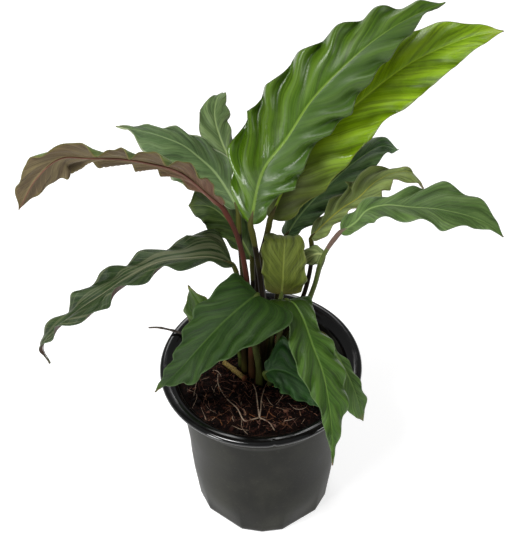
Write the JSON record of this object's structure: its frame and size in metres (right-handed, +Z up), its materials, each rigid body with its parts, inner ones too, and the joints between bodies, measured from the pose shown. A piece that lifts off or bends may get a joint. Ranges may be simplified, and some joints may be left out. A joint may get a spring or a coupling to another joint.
{
  "type": "potted calathea",
  "caption": "Potted calathea: long wavy-edged leaves with red-brown undersides on slim stalks, rooted in dark fibrous soil in a round black nursery pot with a rolled rim.",
  "frame": {"origin": "centre of the pot's underside, on the surface that the pot stands on", "axes": "+Z up out of the pot, -Y towards the plant's front, +X to the right seen from the front"},
  "size_m": [0.3069, 0.1857, 0.3808],
  "materials": {
    "pot_plastic": "satin black",
    "peat": "rough, fibrous",
    "root_fibre": "dry",
    "dry_twig": "dry",
    "leaf_green": "semi-gloss",
    "leaf_dark": "satin",
    "leaf_lime": "glossy",
    "leaf_grey": "satin",
    "leaf_mauve": "satin",
    "leaf_olive": "satin",
    "leaf_young": "satin",
    "stalk_red": "satin",
    "stalk_green": "satin"
  },
  "bodies": {
    "root": {"pot": "pot_plastic", "soil": "peat", "roots": "root_fibre", "cut_stub": "stalk_green", "twig": "dry_twig", "stalk_tall_front": "stalk_red", "blade_tall_front": "leaf_green", "stalk_tall_lime": "stalk_red", "blade_tall_lime": "leaf_lime", "stalk_back_left": "stalk_red", "blade_back_left": "leaf_grey", "stalk_left_broad": "stalk_red", "blade_left_broad": "leaf_grey", "stalk_left_arch": "stalk_red", "blade_left_arch": "leaf_mauve", "stalk_left_behind": "stalk_red", "blade_left_behind": "leaf_dark", "stalk_left_low": "stalk_red", "blade_left_low": "leaf_dark", "stalk_front_left": "stalk_green", "blade_front_left": "leaf_dark", "stalk_front_right": "stalk_green", "blade_front_right": "leaf_green", "stalk_right_low": "stalk_red", "blade_right_low": "leaf_green", "stalk_front_small": "stalk_green", "blade_front_small": "leaf_green", "stalk_left_tip": "stalk_green", "blade_left_tip": "leaf_green", "stalk_right_long": "stalk_green", "blade_right_long": "leaf_green", "stalk_right_olive": "stalk_red", "blade_right_olive": "leaf_olive", "stalk_right_behind": "stalk_red", "blade_right_behind": "leaf_dark", "stalk_young_centre": "stalk_green", "blade_young_centre": "leaf_young", "stalk_right_flap": "stalk_green", "blade_right_flap": "leaf_grey"}
  },
  "joints": []
}
